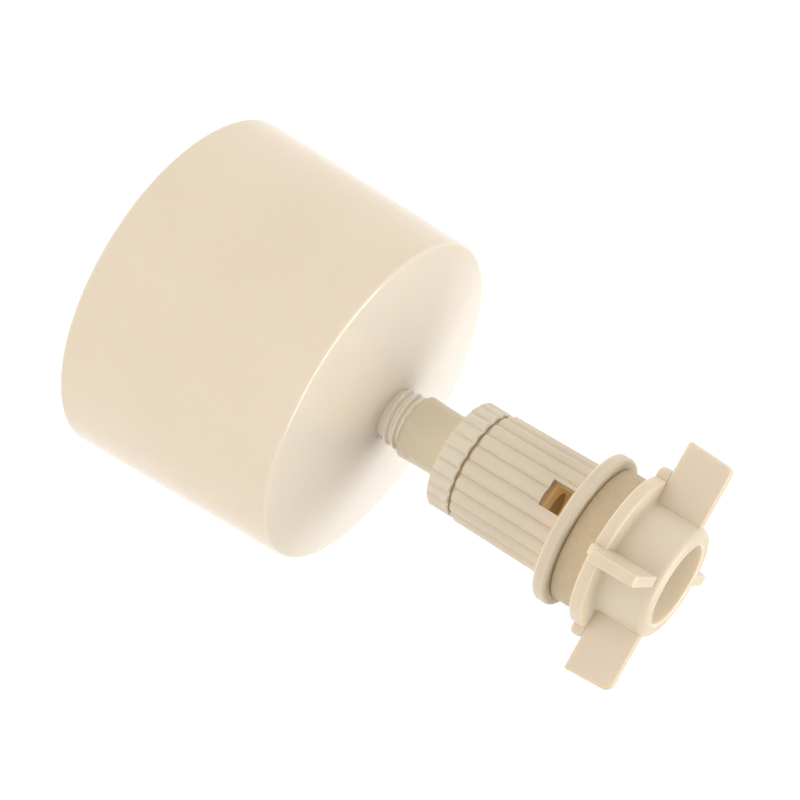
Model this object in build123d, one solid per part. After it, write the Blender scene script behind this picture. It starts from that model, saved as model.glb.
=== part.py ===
"""Float valve for the lid or wall of a water tank, hanging nut upwards.

The frame's origin is the centre of the flange's upper face, which bears on the panel, and +Z
points out of the tank through the wing nut. Lengths are in millimetres and angles in degrees.
"""
import os
from math import cos, radians, sin

from build123d import *

# Fluted body, flange and threaded nipple
FLANGE_R = 18.0
FLANGE_T = 3.4
FLANGE_ROUND = 0.9
SLEEVE_TOP_R = 13.5
SLEEVE_END_R = 13.2
SLEEVE_END_Z = -28.1
SLEEVE_BORE_R = 9.6
SLEEVE_FLUTES = 22
SLEEVE_CREST_ANGLE = -86.0
FLUTE_ROUND_R = 2.3
WEB_TOP_Z = 3.0
WEB_LOW_Z = -2.6
NIPPLE_TOP_Z = 13.2
SUPPLY_BORE_R = 6.6
STRAINER_POCKET_R = 6.2
STRAINER_POCKET_TOP_Z = 5.4
RIB_COUNT = 4
RIB_WIDTH = 2.0
RIB_HEIGHT = 0.9
RIB_LOW_Z = -22.5
WINDOW_SIZE = 6.4
WINDOW_ANGLES = (-90.0, 90.0)

# Nipple thread, which the wing nut runs on
NIPPLE_PITCH = 1.8
NIPPLE_THREAD_LOW_Z = 1.6
NIPPLE_ROOT_R = 8.4
NIPPLE_CREST_R = 9.2
THREAD_PLAY = 0.15

# Panel gasket and wing nut
GASKET_T = 6.2
GASKET_R = 15.9
GASKET_BORE_R = 9.5
NUT_DISC_R = 18.0
NUT_DISC_T = 3.0
NUT_FOOT_R = 20.4
NUT_BARREL_R = 13.2
NUT_TOP_Z = 21.8
NUT_MOUTH_R = 9.6
NUT_MOUTH_LOW_Z = 12.0
NUT_LIP_ROUND = 1.8
NUT_FOOT_ROUND = 0.8
WING_COUNT = 4
WING_ANGLE = 20.0
WING_T = 2.6
WING_LOW_Z = 9.1
WING_TOP_Z = 20.3
WING_TIP_R = 27.8
WING_FRONT_R = 27.1
WING_CORNER_ROUND = 1.6
WING_EDGE_ROUND = 0.4

# Guide cap: a knurled ring on a quarter-turn bayonet
CAP_R = 13.0
CAP_LOW_Z = -34.7
CAP_TOP_Z = -28.9
CAP_FLOOR_T = 2.0
CAP_HOLE_R = 7.5
CAP_FLUTES = 24
CAP_CREST_ANGLE = -87.0
CAP_WALL = 1.3
CAP_EDGE_ROUND = 0.7
SPIGOT_R = 9.3
SPIGOT_BORE_R = 7.9
SPIGOT_TOP_Z = -24.0
LUG_COUNT = 3
LUG_R = 10.3
LUG_SWEEP = 24.0
LUG_LOW_Z = -26.6
LUG_TOP_Z = -24.6
BAYONET_PLAY = 0.3
BAYONET_TURN = 60.0

# Seat nozzle, strainer and washer in the supply bore
NOZZLE_FLANGE_R = 6.0
NOZZLE_FLANGE_T = 1.0
NOZZLE_R = 4.6
NOZZLE_TIP_R = 4.0
NOZZLE_TIP_Z = -5.6
NOZZLE_BORE_R = 1.5
FIT_PLAY = 0.05

# Plunger: head, rubber seal, retainer and stop ring on the hollow stem
LIFT = 4.5
SEAL_R = 5.4
SEAL_T = 2.4
HEAD_R = 7.2
HEAD_LOW_Z = -16.0
RETAINER_R = 8.4
STEM_TOP_Z = HEAD_LOW_Z
STEM_CAP_R = 7.3
STEM_END_R = 7.55
STEM_END_Z = -47.2
STEM_BORE_R = 5.4
STOP_RING_R = 9.2
STOP_RING_T = 2.4

# Float: a hollow cone frustum, crowned on top, with a threaded post that screws into the stem
POST_PITCH = 2.0
POST_ROOT_R = 6.0
POST_CREST_R = 6.75
POST_TIP_Z = -39.8
POST_RING_Z = -41.0
POST_THREAD_LOW_Z = -52.6
POST_THREAD_TOP_Z = -42.6
SOCKET_TOP_Z = -34.8
CROWN_Z = -53.0
CROWN_MIDDLE_R = 22.0
CROWN_MIDDLE_Z = -54.7
CROWN_FOOT_R = 7.2
RIM_Z = -57.4
RIM_ROUND = 0.8
FLOAT_LOW_Z = -113.4
FLOAT_TOP_R = 39.9
FLOAT_LOW_R = 42.3
FLOAT_WALL = 1.8
BASE_T = 2.2

SEAL_TOP_Z = NOZZLE_TIP_Z - LIFT


def turned(*profile):
    """A solid of revolution about Z, from (radius, height) corners."""
    outline = Plane.XZ * Polyline(*profile, close=True)
    return revolve(make_face(outline), Axis.Z)


def tube(outer, inner, low, high):
    """A plain ring or tube."""
    return turned((inner, low), (outer, low), (outer, high), (inner, high))


def rim(solid, radius, height):
    """The round edges of a solid that have that radius and height."""
    return [edge for edge in solid.edges().filter_by(GeomType.CIRCLE)
            if abs(edge.radius - radius) < 0.01 and abs(edge.arc_center.Z - height) < 0.01]


def o_ring(centre_r, section_r, height):
    """A round rubber ring."""
    section = Plane.XZ * Pos(centre_r, height) * Circle(section_r)
    return revolve(section, Axis.Z)


def sector(outer, inner, low, high, middle, sweep):
    """A piece of a tube that spans sweep degrees about the middle angle."""
    arms = [(2 * outer * cos(radians(a)), 2 * outer * sin(radians(a)))
            for a in (middle - sweep / 2, middle, middle + sweep / 2)]
    wedge = extrude(Pos(0, 0, low) * make_face(Polyline((0, 0), *arms, close=True)), high - low)
    return tube(outer, inner, low, high) & wedge


def ridge(root, crest, pitch, low, high, play=0.0):
    """One right-hand helical thread ridge, whose foot sinks a little into the root."""
    sunk = root - 0.1
    half_foot = 0.38 * pitch + play
    half_land = 0.15 * pitch + play
    path = Helix(pitch, high - low, sunk, center=(0, 0, low))
    outline = Polyline((sunk, -half_foot), (crest, -half_land), (crest, half_land), (sunk, half_foot),
                       close=True)
    section = Pos(0, 0, low) * (Plane.XZ * make_face(outline))
    return sweep(section, path, is_frenet=True)


def tapped(root, crest, pitch, thread_low, low, high):
    """The space that a threaded hole takes out: a core and a ridge, both THREAD_PLAY over size."""
    core = tube(root + THREAD_PLAY, 0, low, high)
    below = thread_low - pitch * ((thread_low - low) // pitch + 1)
    return core + ridge(root + THREAD_PLAY, crest + THREAD_PLAY, pitch, below, high, THREAD_PLAY)


def rounded(radius, low, high, rounding):
    """A plain cylinder with both rims rounded."""
    body = tube(radius, 0, low, high)
    return fillet(rim(body, radius, low) + rim(body, radius, high), rounding)


def fluted(crest_r, end_crest_r, count, crest_angle, high, low):
    """A solid rounded-rib column, from high down to low, its crest radius changing evenly."""
    def outline(crest):
        ribs = [Rot(0, 0, crest_angle + 360 * k / count) * Pos(crest - FLUTE_ROUND_R, 0)
                * Circle(FLUTE_ROUND_R) for k in range(count)]
        return Sketch() + Circle(crest - FLUTE_ROUND_R) + ribs
    return loft([Pos(0, 0, low) * outline(end_crest_r), Pos(0, 0, high) * outline(crest_r)])


def valve_body():
    """Fluted sleeve with outlet windows, flange and threaded nipple in one moulding."""
    body = fluted(SLEEVE_TOP_R, SLEEVE_END_R, SLEEVE_FLUTES, SLEEVE_CREST_ANGLE,
                  -FLANGE_T + 0.1, SLEEVE_END_Z)
    flange = rounded(FLANGE_R, -FLANGE_T, 0, FLANGE_ROUND)
    nipple = turned((0, -0.1), (NIPPLE_ROOT_R, -0.1), (NIPPLE_ROOT_R, NIPPLE_TOP_Z - 0.5),
                    (NIPPLE_ROOT_R - 0.5, NIPPLE_TOP_Z), (0, NIPPLE_TOP_Z))
    thread = ridge(NIPPLE_ROOT_R, NIPPLE_CREST_R, NIPPLE_PITCH, NIPPLE_THREAD_LOW_Z, NIPPLE_TOP_Z - 1.0)
    body = body + flange + nipple + thread
    body -= Pos(0, 0, SLEEVE_END_Z) * Cylinder(SLEEVE_BORE_R, WEB_LOW_Z - SLEEVE_END_Z,
                                               align=(Align.CENTER, Align.CENTER, Align.MIN))
    body -= tube(SUPPLY_BORE_R, 0, STRAINER_POCKET_TOP_Z, NIPPLE_TOP_Z)
    body -= tube(STRAINER_POCKET_R, 0, WEB_TOP_Z, STRAINER_POCKET_TOP_Z)
    body -= tube(NOZZLE_R + FIT_PLAY, 0, WEB_LOW_Z, WEB_TOP_Z)
    body -= tube(LUG_R + BAYONET_PLAY, 0, LUG_LOW_Z - BAYONET_PLAY, LUG_TOP_Z + BAYONET_PLAY)
    for k in range(LUG_COUNT):
        slot_angle = BAYONET_TURN + 360 * k / LUG_COUNT
        body -= sector(LUG_R + BAYONET_PLAY, 0, SLEEVE_END_Z, LUG_TOP_Z, slot_angle, LUG_SWEEP + 6)
    for k in range(RIB_COUNT):
        rib = Pos(SLEEVE_BORE_R, 0, (RIB_LOW_Z + WEB_LOW_Z) / 2)
        rib *= Box(2 * RIB_HEIGHT, RIB_WIDTH, WEB_LOW_Z - RIB_LOW_Z)
        body += Rot(0, 0, 45 + 360 * k / RIB_COUNT) * rib
    for angle in WINDOW_ANGLES:
        window = Pos(SLEEVE_TOP_R, 0, -FLANGE_T - WINDOW_SIZE / 2) * Box(12, WINDOW_SIZE, WINDOW_SIZE)
        body -= Rot(0, 0, angle) * window
    return body


def panel_gasket():
    """Thick soft ring between the flange side and the nut."""
    ring = tube(GASKET_R, GASKET_BORE_R, 0, GASKET_T)
    return fillet(rim(ring, GASKET_R, 0) + rim(ring, GASKET_R, GASKET_T), 0.5)


def wing():
    """One flat wing, drawn along +X, with its front corner and its edges rounded."""
    root_r = 8.0
    step_r = NUT_DISC_R - 1
    outline = Plane.XZ * Polyline((root_r, WING_LOW_Z - 1), (step_r, WING_LOW_Z - 1), (step_r, WING_LOW_Z),
                                  (WING_TIP_R, WING_LOW_Z), (WING_FRONT_R, WING_TOP_Z), (root_r, WING_TOP_Z),
                                  close=True)
    blade = extrude(make_face(outline), WING_T / 2, both=True)
    corners = blade.edges().filter_by(Axis.Y).sort_by(Axis.X)
    blade = fillet(corners[-2], WING_CORNER_ROUND)
    blade = fillet(blade.edges().filter_by(Axis.Y).sort_by(Axis.X)[-1], WING_EDGE_ROUND)
    rims = [edge for edge in blade.edges() if edge.center().X > step_r and abs(edge.center().Y) > 0.1]
    return fillet(rims, WING_EDGE_ROUND)


def foot(low, high):
    """The small block that stands out of the disc's rim under each wing."""
    length = NUT_FOOT_R - NUT_DISC_R + 3
    block = Pos(NUT_FOOT_R - length / 2, 0, (low + high) / 2) * Box(length, WING_T, high - low)
    block = fillet(block.edges().filter_by(Axis.Y).sort_by(Axis.X)[-2:], 1.2)
    rims = [edge for edge in block.edges() if edge.center().X > NUT_DISC_R and abs(edge.center().Y) > 0.1]
    return fillet(rims, WING_EDGE_ROUND)


def wing_nut():
    """Disc, barrel and four wings on small feet, threaded in its lower half."""
    low, disc_top = GASKET_T, GASKET_T + NUT_DISC_T
    barrel = tube(NUT_BARREL_R, 0, low, NUT_TOP_Z)
    barrel = fillet(rim(barrel, NUT_BARREL_R, NUT_TOP_Z), NUT_LIP_ROUND)
    nut = rounded(NUT_DISC_R, low, disc_top, 0.6) + barrel
    nut = fillet(rim(nut, NUT_BARREL_R, disc_top), NUT_FOOT_ROUND)
    for k in range(WING_COUNT):
        nut += Rot(0, 0, WING_ANGLE + 360 * k / WING_COUNT) * (wing() + foot(low, disc_top))
    nut -= tube(NUT_MOUTH_R, 0, NUT_MOUTH_LOW_Z, NUT_TOP_Z)
    nut -= tapped(NIPPLE_ROOT_R, NIPPLE_CREST_R, NIPPLE_PITCH, NIPPLE_THREAD_LOW_Z,
                  low - 1, NUT_MOUTH_LOW_Z + 1)
    return fillet(rim(nut, NUT_MOUTH_R, NUT_TOP_Z), 0.5)


def guide_cap():
    """Knurled ring cap whose hole guides the stem; three lugs lock it in the sleeve."""
    cap = fluted(CAP_R, CAP_R, CAP_FLUTES, CAP_CREST_ANGLE, CAP_TOP_Z, CAP_LOW_Z)
    cap &= rounded(CAP_R, CAP_LOW_Z, CAP_TOP_Z, CAP_EDGE_ROUND)
    pocket_r = CAP_R - CAP_WALL
    cap -= tube(pocket_r, 0, CAP_LOW_Z + CAP_FLOOR_T, CAP_TOP_Z)
    cap -= tube(CAP_HOLE_R, 0, CAP_LOW_Z, CAP_TOP_Z)
    cap += tube(SPIGOT_R, SPIGOT_BORE_R, CAP_LOW_Z + CAP_FLOOR_T - 0.1, SPIGOT_TOP_Z)
    for k in range(LUG_COUNT):
        cap += sector(LUG_R, SPIGOT_R - 0.2, LUG_LOW_Z, LUG_TOP_Z, 360 * k / LUG_COUNT, LUG_SWEEP)
    return cap


def seat_nozzle():
    """Insert that carries the round lip the seal closes on."""
    top = WEB_TOP_Z + NOZZLE_FLANGE_T
    return turned((NOZZLE_BORE_R, NOZZLE_TIP_Z), (NOZZLE_BORE_R + 0.7, NOZZLE_TIP_Z),
                  (NOZZLE_TIP_R, NOZZLE_TIP_Z + 1.3), (NOZZLE_TIP_R, WEB_LOW_Z), (NOZZLE_R, WEB_LOW_Z),
                  (NOZZLE_R, -0.6), (NOZZLE_R - 0.9, -0.6), (NOZZLE_R - 0.9, 0.8), (NOZZLE_R, 0.8),
                  (NOZZLE_R, WEB_TOP_Z), (NOZZLE_FLANGE_R, WEB_TOP_Z), (NOZZLE_FLANGE_R, top),
                  (NOZZLE_BORE_R + 1.4, top), (NOZZLE_BORE_R, top - 2.5))


def strainer_frame():
    """Ring with a cross that holds the wire cloth over the nozzle."""
    low = WEB_TOP_Z + NOZZLE_FLANGE_T
    frame = tube(STRAINER_POCKET_R - FIT_PLAY, STRAINER_POCKET_R - 1.2, low, low + 1.2)
    for angle in (0, 90):
        bar = Pos(0, 0, low + 0.3) * Box(2 * STRAINER_POCKET_R - 1.2, 0.8, 0.6)
        frame += Rot(0, 0, angle) * bar
    return frame


def strainer_mesh():
    """Woven wire disc, held inside the frame's ring."""
    low = WEB_TOP_Z + NOZZLE_FLANGE_T + 0.6
    mesh = Pos(0, 0, low + 0.15) * Cylinder(STRAINER_POCKET_R - 1.2, 0.3)
    reach = STRAINER_POCKET_R - 1.2
    holes = [Pos(x * 1.1, y * 1.1, low) * Box(0.7, 0.7, 2) for x in range(-4, 5) for y in range(-4, 5)
             if (x * x + y * y) * 1.21 < (reach - 1.0) ** 2]
    return mesh - holes


def plunger_head():
    """Seal holder: its upper cup carries the seal and its spigot plugs the hollow stem."""
    cup_floor = SEAL_TOP_Z - SEAL_T
    spigot_r = STEM_BORE_R - FIT_PLAY
    return turned((0, HEAD_LOW_Z - 5), (spigot_r, HEAD_LOW_Z - 5), (spigot_r, HEAD_LOW_Z),
                  (HEAD_R, HEAD_LOW_Z), (HEAD_R, SEAL_TOP_Z - 0.9), (SEAL_R + FIT_PLAY, SEAL_TOP_Z - 0.9),
                  (SEAL_R + FIT_PLAY, cup_floor), (0, cup_floor))


def plunger_seal():
    """Rubber disc that closes the nozzle."""
    disc = tube(SEAL_R, 0, SEAL_TOP_Z - SEAL_T, SEAL_TOP_Z)
    return fillet(rim(disc, SEAL_R, SEAL_TOP_Z), 0.3)


def seal_retainer():
    """Snap ring cap that keeps the seal in its cup."""
    low, high = SEAL_TOP_Z - 4.2, SEAL_TOP_Z + 0.5
    return turned((HEAD_R + FIT_PLAY, low), (RETAINER_R, low), (RETAINER_R, high - 0.4),
                  (RETAINER_R - 0.4, high), (SEAL_R - 0.9, high), (SEAL_R - 0.9, SEAL_TOP_Z + FIT_PLAY),
                  (SEAL_R + 0.3, SEAL_TOP_Z + FIT_PLAY), (SEAL_R + 0.3, SEAL_TOP_Z - 0.85),
                  (HEAD_R + FIT_PLAY, SEAL_TOP_Z - 0.85))


def stop_ring():
    """Ring on the stem that stands on the guide cap when the float hangs; keyed on the ribs."""
    low = SPIGOT_TOP_Z + FIT_PLAY
    ring = tube(STOP_RING_R, STEM_CAP_R + FIT_PLAY, low, low + STOP_RING_T)
    for k in range(RIB_COUNT):
        notch = Pos(SLEEVE_BORE_R, 0, low)
        notch *= Box(2 * RIB_HEIGHT + 0.8, RIB_WIDTH + 0.8, 3 * STOP_RING_T)
        ring -= Rot(0, 0, 45 + 360 * k / RIB_COUNT) * notch
    return ring


def stem():
    """Hollow stem with a slight draft, threaded inside its lower end."""
    body = turned((0, STEM_END_Z), (STEM_END_R - 0.7, STEM_END_Z), (STEM_END_R, STEM_END_Z + 0.7),
                  (STEM_CAP_R, CAP_LOW_Z), (STEM_CAP_R, STEM_TOP_Z), (0, STEM_TOP_Z))
    body -= tube(STEM_BORE_R, 0, SOCKET_TOP_Z, STEM_TOP_Z)
    body -= tapped(POST_ROOT_R, POST_CREST_R, POST_PITCH, POST_THREAD_LOW_Z,
                   STEM_END_Z - 1, SOCKET_TOP_Z)
    return body


def post_o_ring():
    """Rubber ring near the post's tip, which grips the stem so that the float stays set."""
    return o_ring(POST_ROOT_R - 0.4, 0.42, POST_RING_Z)


def crown(drop):
    """The curved line of the float's upper face from the rim to the post, lowered by drop."""
    start = (FLOAT_TOP_R - drop, RIM_Z - drop)
    middle = (CROWN_MIDDLE_R, CROWN_MIDDLE_Z - drop)
    end = (CROWN_FOOT_R - drop, CROWN_Z - drop)
    return Plane.XZ * ThreePointArc(start, middle, end)


def float_shell():
    """Thin cone frustum with its closed, slightly crowned upper face and threaded post."""
    lean = (FLOAT_LOW_R - FLOAT_TOP_R) / (RIM_Z - FLOAT_LOW_Z)
    base_top = FLOAT_LOW_Z + BASE_T
    base_r = FLOAT_LOW_R - lean * BASE_T - FLOAT_WALL / 2
    side = Plane.XZ * Polyline((FLOAT_TOP_R, RIM_Z), (FLOAT_LOW_R, FLOAT_LOW_Z), (base_r, FLOAT_LOW_Z),
                               (base_r, base_top), (FLOAT_LOW_R - FLOAT_WALL, base_top),
                               (FLOAT_TOP_R - FLOAT_WALL, RIM_Z - FLOAT_WALL))
    middle = Plane.XZ * Polyline((CROWN_FOOT_R - FLOAT_WALL, CROWN_Z - FLOAT_WALL), (0, CROWN_Z - FLOAT_WALL),
                                 (0, CROWN_Z), (CROWN_FOOT_R, CROWN_Z))
    shell = revolve(make_face(crown(0) + crown(FLOAT_WALL) + side + middle), Axis.Z)
    shell = fillet(rim(shell, FLOAT_TOP_R, RIM_Z), RIM_ROUND)
    shell = fillet(rim(shell, FLOAT_LOW_R, FLOAT_LOW_Z), FLOAT_WALL / 2 - 0.2)
    groove_low, groove_high = POST_RING_Z - 0.6, POST_RING_Z + 0.6
    groove_r = POST_ROOT_R - 0.85
    tip_r = POST_ROOT_R - 0.1
    post = turned((0, CROWN_Z - 0.5), (POST_ROOT_R, CROWN_Z - 0.5), (POST_ROOT_R, groove_low),
                  (groove_r, groove_low), (groove_r, groove_high), (tip_r, groove_high),
                  (tip_r, POST_TIP_Z), (0, POST_TIP_Z))
    thread = ridge(POST_ROOT_R, POST_CREST_R, POST_PITCH, POST_THREAD_LOW_Z, POST_THREAD_TOP_Z)
    return shell + post + thread


def float_base():
    """Disc welded into the float's wide lower end."""
    lean = (FLOAT_LOW_R - FLOAT_TOP_R) / (RIM_Z - FLOAT_LOW_Z)
    base_r = FLOAT_LOW_R - lean * BASE_T - FLOAT_WALL / 2 - 0.02
    return tube(base_r, 0, FLOAT_LOW_Z, FLOAT_LOW_Z + BASE_T)


SUB_PARTS = {
    "valve_body": valve_body,
    "panel_gasket": panel_gasket,
    "wing_nut": wing_nut,
    "guide_cap": guide_cap,
    "cap_o_ring": lambda: o_ring(12.05, 0.36, (SLEEVE_END_Z + CAP_TOP_Z) / 2),
    "seat_nozzle": seat_nozzle,
    "nozzle_o_ring": lambda: o_ring(NOZZLE_R - 0.43, 0.45, 0.1),
    "strainer_frame": strainer_frame,
    "strainer_mesh": strainer_mesh,
    "inlet_washer": lambda: tube(8.2, 6.9, NIPPLE_TOP_Z, NIPPLE_TOP_Z + 1.5),
    "plunger_head": plunger_head,
    "plunger_seal": plunger_seal,
    "seal_retainer": seal_retainer,
    "stop_ring": stop_ring,
    "stem": stem,
    "post_o_ring": post_o_ring,
    "float_shell": float_shell,
    "float_base": float_base,
}

os.makedirs("parts", exist_ok=True)
for name, make in SUB_PARTS.items():
    export_step(make(), f"parts/{name}.step")
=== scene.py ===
from math import radians

import bpy
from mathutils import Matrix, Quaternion, Vector


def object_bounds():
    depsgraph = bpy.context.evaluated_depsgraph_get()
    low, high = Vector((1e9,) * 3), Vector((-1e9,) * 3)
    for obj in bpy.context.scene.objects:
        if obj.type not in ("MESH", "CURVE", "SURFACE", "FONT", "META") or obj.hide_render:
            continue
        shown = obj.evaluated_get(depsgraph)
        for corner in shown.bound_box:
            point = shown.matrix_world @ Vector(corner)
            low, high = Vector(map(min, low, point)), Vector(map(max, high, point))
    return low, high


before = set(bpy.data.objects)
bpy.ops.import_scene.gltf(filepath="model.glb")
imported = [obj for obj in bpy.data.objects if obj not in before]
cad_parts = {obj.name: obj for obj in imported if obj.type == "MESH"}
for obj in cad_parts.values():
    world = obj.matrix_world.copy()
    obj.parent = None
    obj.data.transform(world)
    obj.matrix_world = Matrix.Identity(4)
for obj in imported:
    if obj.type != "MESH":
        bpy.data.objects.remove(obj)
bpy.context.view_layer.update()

MM = 0.001

# Camera: round the valve's axis, above the horizon, then rolled so that the nut points down and right
CAMERA_AZIMUTH = radians(12.0)
CAMERA_ELEVATION = radians(20.6)
CAMERA_ROLL = radians(121.2)
CAMERA_DISTANCE = 0.5435
CAMERA_LENS = 112.5
AIM_Z = -28.1 * MM
AIM_RIGHT = -18.5 * MM
AIM_UP = 14.9 * MM

FLOOR_DROP = 0.35
FLOOR_SIZE = 60.0

# Colours of the plastics, as linear red, green and blue
CREAM = (0.785, 0.67, 0.525)
CREAM_SHADE = (0.77, 0.655, 0.505)
# Lighter cream: painted highlight for the float's lit face, not a different finish.
PAINTED_LIT_FACE = (0.84, 0.75, 0.62)
SPECK = (0.45, 0.34, 0.20)
# Warm colour painted on the body's inner walls: painted light through the walls and bounced inside.
PAINTED_AMBER_LIGHT = (0.88, 0.66, 0.28)


def make_camera():
    """A long lens on the camera's ray, aimed beside the point AIM_Z on the valve's axis."""
    back = Vector((0, -1, 0))
    back.rotate(Quaternion((1, 0, 0), -CAMERA_ELEVATION))
    back.rotate(Quaternion((0, 0, 1), CAMERA_AZIMUTH))
    turn = (-back).to_track_quat("-Z", "Y") @ Quaternion((0, 0, 1), CAMERA_ROLL)
    aim = Vector((0, 0, AIM_Z)) + turn @ Vector((AIM_RIGHT, AIM_UP, 0))
    data = bpy.data.cameras.new("camera")
    data.lens = CAMERA_LENS
    data.clip_start = 0.01
    data.clip_end = 20
    camera = bpy.data.objects.new("camera", data)
    camera.rotation_mode = "QUATERNION"
    camera.rotation_quaternion = turn
    camera.location = aim + back * CAMERA_DISTANCE
    bpy.context.scene.collection.objects.link(camera)
    bpy.context.scene.camera = camera
    return aim, turn


def softbox(name, aim, turn, place, size, power, tint=(1, 1, 1)):
    """A square area light at a place given to the camera's right, up and back, facing the valve."""
    data = bpy.data.lights.new(name, "AREA")
    data.shape = "RECTANGLE"
    data.size, data.size_y = size
    data.energy = power
    data.color = tint
    light = bpy.data.objects.new(name, data)
    light.location = aim + turn @ Vector(place)
    light.rotation_mode = "QUATERNION"
    light.rotation_quaternion = (aim - light.location).to_track_quat("-Z", "Y")
    bpy.context.scene.collection.objects.link(light)


class Nodes:
    """One material's shader nodes, added and wired through short methods."""

    def __init__(self, name):
        self.material = bpy.data.materials.new(name)
        self.material.use_nodes = True
        self.tree = self.material.node_tree
        self.shader = self.tree.nodes["Principled BSDF"]
        self.place = self.add("ShaderNodeTexCoord").outputs["Object"]

    def add(self, kind, **settings):
        node = self.tree.nodes.new(kind)
        for key, value in settings.items():
            setattr(node, key, value)
        return node

    def link(self, output, socket):
        self.tree.links.new(output, socket)

    def noise(self, scale, detail):
        node = self.add("ShaderNodeTexNoise")
        node.inputs["Scale"].default_value = scale
        node.inputs["Detail"].default_value = detail
        self.link(self.place, node.inputs["Vector"])
        return node.outputs["Fac"]

    def ramp(self, value, low, high):
        """A value that follows the input from 0 at low to 1 at high, smoothly."""
        node = self.add("ShaderNodeMapRange", interpolation_type="SMOOTHSTEP")
        node.inputs["From Min"].default_value = low
        node.inputs["From Max"].default_value = high
        self.link(value, node.inputs["Value"])
        return node.outputs["Result"]

    def scaled(self, value, low, high):
        """The input's 0 to 1 carried to low to high."""
        node = self.add("ShaderNodeMapRange")
        node.inputs["To Min"].default_value = low
        node.inputs["To Max"].default_value = high
        self.link(value, node.inputs["Value"])
        return node.outputs["Result"]

    def math(self, operation, a, b=None):
        node = self.add("ShaderNodeMath", operation=operation)
        for socket, value in zip(node.inputs, (a, b)):
            if isinstance(value, (int, float)):
                socket.default_value = value
            elif value is not None:
                self.link(value, socket)
        return node.outputs[0]

    def mix(self, share, a, b):
        """Colour a at share 0 and b at share 1; either may be a colour or an output."""
        node = self.add("ShaderNodeMix", data_type="RGBA")
        self.link(share, node.inputs["Factor"])
        for socket, value in ((node.inputs[6], a), (node.inputs[7], b)):
            if isinstance(value, tuple):
                socket.default_value = (*value, 1)
            else:
                self.link(value, socket)
        return node.outputs[2]

    def bump(self, height, distance):
        node = self.add("ShaderNodeBump")
        node.inputs["Distance"].default_value = distance
        self.link(height, node.inputs["Height"])
        self.link(node.outputs["Normal"], self.shader.inputs["Normal"])

    def set(self, **values):
        for key, value in values.items():
            self.shader.inputs[key.replace("_", " ")].default_value = value

    def radius_and_height(self):
        """Distance from the valve's axis and height along it, in metres."""
        split = self.add("ShaderNodeSeparateXYZ")
        self.link(self.place, split.inputs["Vector"])
        x2 = self.math("MULTIPLY", split.outputs["X"], split.outputs["X"])
        y2 = self.math("MULTIPLY", split.outputs["Y"], split.outputs["Y"])
        return self.math("SQRT", self.math("ADD", x2, y2)), split.outputs["Z"]


def moulded(name, colour, shade, roughness, grain=0.02 * MM, glow=0.35, inner=None, gloss_and_lit_z=None):
    """Cream injection-moulded plastic: faint flow clouds, fine texture and light that soaks in.

    inner is a painted warm light tint and a faint painted glow for the walls inside two radii and
    below a height, standing in for light that shows through them and bounces inside. Above the gloss
    height the skin has a clear coat and a lighter colour, a painted highlight for the lit face.
    """
    n = Nodes(name)
    clouds = n.ramp(n.noise(40, 3), 0.30, 0.70)
    base = n.mix(clouds, colour, shade)
    specks = n.ramp(n.noise(1400, 2), 0.70, 0.78)
    base = n.mix(n.math("MULTIPLY", specks, 0.07), base, SPECK)
    radius, height = n.radius_and_height()
    if inner:
        # Inside the walls: a painted warm light tint and a faint painted glow, for light through the
        # walls and bounced inside.
        tint, through, inner_r, outer_r, top_z = inner
        above = n.ramp(height, top_z, top_z + 0.6 * MM)
        outside = n.math("MAXIMUM", n.ramp(radius, inner_r, outer_r), above)
        base = n.mix(outside, tint, base)
        n.link(n.scaled(outside, through, 0.0), n.shader.inputs["Emission Strength"])
        n.set(Emission_Color=(*tint, 1))
    # Above the gloss height: a clear coat, and a lighter colour painted on as the lit face's
    # highlight.
    if gloss_and_lit_z:
        gloss_and_lit_face = n.ramp(height, gloss_and_lit_z - 0.5 * MM, gloss_and_lit_z)
        base = n.mix(gloss_and_lit_face, base, PAINTED_LIT_FACE)
        n.link(n.scaled(gloss_and_lit_face, 0.0, 0.8), n.shader.inputs["Coat Weight"])
    n.link(base, n.shader.inputs["Base Color"])
    n.link(n.scaled(n.noise(260, 3), roughness - 0.06, roughness + 0.06), n.shader.inputs["Roughness"])
    fine = n.math("ADD", n.noise(2600, 2), n.math("MULTIPLY", n.noise(220, 2), 1.5))
    n.bump(fine, grain)
    n.set(IOR=1.3 if gloss_and_lit_z else 1.5, Coat_Roughness=0.05, Coat_IOR=1.7,
          Subsurface_Weight=glow, Subsurface_Scale=2.5 * MM)
    n.shader.inputs["Subsurface Radius"].default_value = (1.0, 0.62, 0.30)
    return n.material


def rubber(name, colour, shade, roughness=0.55):
    """Soft rubber with a matt skin and fine speckle."""
    n = Nodes(name)
    base = n.mix(n.ramp(n.noise(700, 5), 0.35, 0.65), colour, shade)
    n.link(base, n.shader.inputs["Base Color"])
    n.link(n.scaled(n.noise(500, 3), roughness - 0.08, roughness + 0.08), n.shader.inputs["Roughness"])
    n.bump(n.noise(1800, 4), 0.03 * MM)
    n.set(IOR=1.5, Subsurface_Weight=0.15, Subsurface_Scale=1.5 * MM, Sheen_Weight=0.05)
    return n.material


def metal(name, colour, shade, roughness):
    """Turned or drawn metal with fine tool lines round the axis."""
    n = Nodes(name)
    base = n.mix(n.ramp(n.noise(900, 4), 0.3, 0.7), colour, shade)
    n.link(base, n.shader.inputs["Base Color"])
    n.link(n.scaled(n.noise(1500, 3), roughness - 0.07, roughness + 0.1), n.shader.inputs["Roughness"])
    _, height = n.radius_and_height()
    lines = n.math("SINE", n.math("MULTIPLY", height, 24000))
    n.bump(lines, 0.004 * MM)
    n.set(Metallic=1.0)
    return n.material


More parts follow.
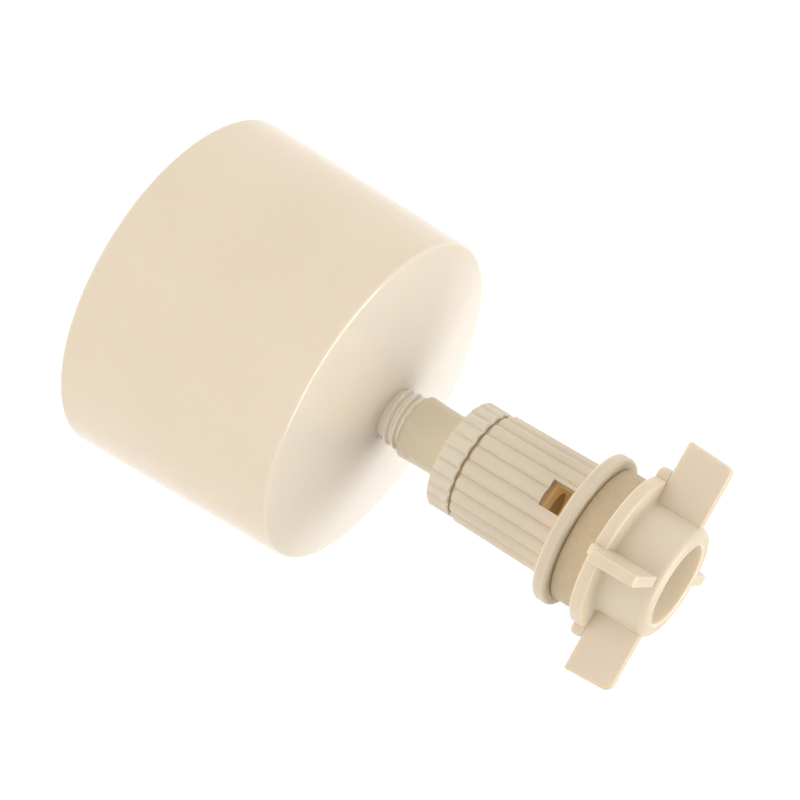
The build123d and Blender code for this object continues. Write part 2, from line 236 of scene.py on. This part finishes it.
def make_floor():
    low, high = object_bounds()
    bpy.ops.mesh.primitive_plane_add(size=FLOOR_SIZE, location=(0, 0, low.z - FLOOR_DROP))
    floor = bpy.context.object
    floor.name = "floor"
    n = Nodes("floor")
    base = n.mix(n.noise(3, 2), (0.93, 0.93, 0.93), (0.96, 0.96, 0.96))
    n.link(base, n.shader.inputs["Base Color"])
    n.set(Roughness=0.9, Emission_Color=(1, 1, 1, 1), Emission_Strength=0.62)
    floor.data.materials.append(n.material)


def light_world(horizon, zenith):
    """A soft white sky, as bright as the floor near the horizon and dimmer overhead."""
    world = bpy.data.worlds.new("studio")
    world.use_nodes = True
    nodes, links = world.node_tree.nodes, world.node_tree.links
    split = nodes.new("ShaderNodeSeparateXYZ")
    links.new(nodes.new("ShaderNodeTexCoord").outputs["Generated"], split.inputs["Vector"])
    fade = nodes.new("ShaderNodeMapRange")
    for key, value in (("From Min", 0.18), ("From Max", 0.4), ("To Min", horizon), ("To Max", zenith)):
        fade.inputs[key].default_value = value
    links.new(split.outputs["Z"], fade.inputs["Value"])
    links.new(fade.outputs["Result"], nodes["Background"].inputs["Strength"])
    nodes["Background"].inputs["Color"].default_value = (1, 0.985, 0.965, 1)
    bpy.context.scene.world = world
    bpy.context.scene.view_settings.view_transform = "Standard"


def dress(material, *nodes):
    for node in nodes:
        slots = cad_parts[node].data.materials
        slots.clear()
        slots.append(material)


aim, turn = make_camera()
make_floor()
light_world(1.06, 0.36)
softbox("key", aim, turn, (-0.75, -0.10, 0.75), (1.2, 1.2), 2.2, (1, 0.985, 0.965))
softbox("face", aim, turn, (0.95, -0.45, 0.28), (1.0, 1.0), 12, (1, 0.98, 0.96))

# The body, cap, nut and stem creams are darker copies of the float's cream: painted shade, darkest on
# the body, which gets the least light.
dress(moulded("body_cream", (0.67, 0.575, 0.44), (0.64, 0.545, 0.41), 0.36,
              # Inside the body's walls: painted amber light and a faint painted glow, standing in for
              # light through the walls and bounced inside.
              inner=(PAINTED_AMBER_LIGHT, 0.08, 9.9 * MM, 11.2 * MM, -3.2 * MM)), "valve_body")
dress(moulded("cap_cream", (0.72, 0.635, 0.50), (0.69, 0.60, 0.47), 0.38), "guide_cap")
dress(moulded("nut_cream", (0.73, 0.635, 0.495), (0.70, 0.605, 0.46), 0.36, glow=0.5,
              # The nut's bore gets a painted lighter tint and a faint painted glow, standing in for
              # light in the shaded bore.
              inner=((0.77, 0.70, 0.56), 0.17, 9.7 * MM, 10.3 * MM, 22 * MM)), "wing_nut")
dress(moulded("stem_cream", (0.72, 0.605, 0.44), (0.69, 0.575, 0.41), 0.30), "stem")
# The float's face above the gloss height gets a clear coat and a painted lighter colour for its lit
# face.
dress(moulded("float_cream", CREAM, CREAM_SHADE, 0.2, grain=0.004 * MM, glow=0.25, gloss_and_lit_z=-57.6 * MM),
      "float_shell", "float_base")
# The inner parts get a painted warm light tint and a faint painted glow, standing in for light through
# the body's walls and bounced inside it.
dress(moulded("inner_painted_warm_light", (0.85, 0.66, 0.34), (0.82, 0.62, 0.30), 0.4,
              inner=((0.88, 0.66, 0.30), 0.12, 12 * MM, 13 * MM, 22 * MM)),
      "plunger_head", "seal_retainer", "stop_ring", "strainer_frame")
# The gasket's tan is painted shade and bounced warm light from the narrow gap between the flange and
# the nut.
dress(rubber("gasket_painted_shade", (0.57, 0.44, 0.28), (0.54, 0.41, 0.255)), "panel_gasket")
dress(rubber("seal_amber", (0.72, 0.47, 0.18), (0.66, 0.42, 0.15)), "plunger_seal")
dress(rubber("washer_cream", (0.80, 0.68, 0.50), (0.77, 0.65, 0.46)), "inlet_washer")
# The rings' brown is partly painted shade: on the cap's O-ring it copies the brownish shade seen in
# its groove.
dress(rubber("ring_brown_and_groove_shade", (0.46, 0.33, 0.20), (0.40, 0.28, 0.16)),
      "cap_o_ring", "nozzle_o_ring", "post_o_ring")
dress(metal("nozzle_brass", (0.95, 0.74, 0.33), (0.90, 0.66, 0.26), 0.38), "seat_nozzle")
dress(metal("strainer_steel", (0.62, 0.62, 0.60), (0.50, 0.50, 0.49), 0.35), "strainer_mesh")
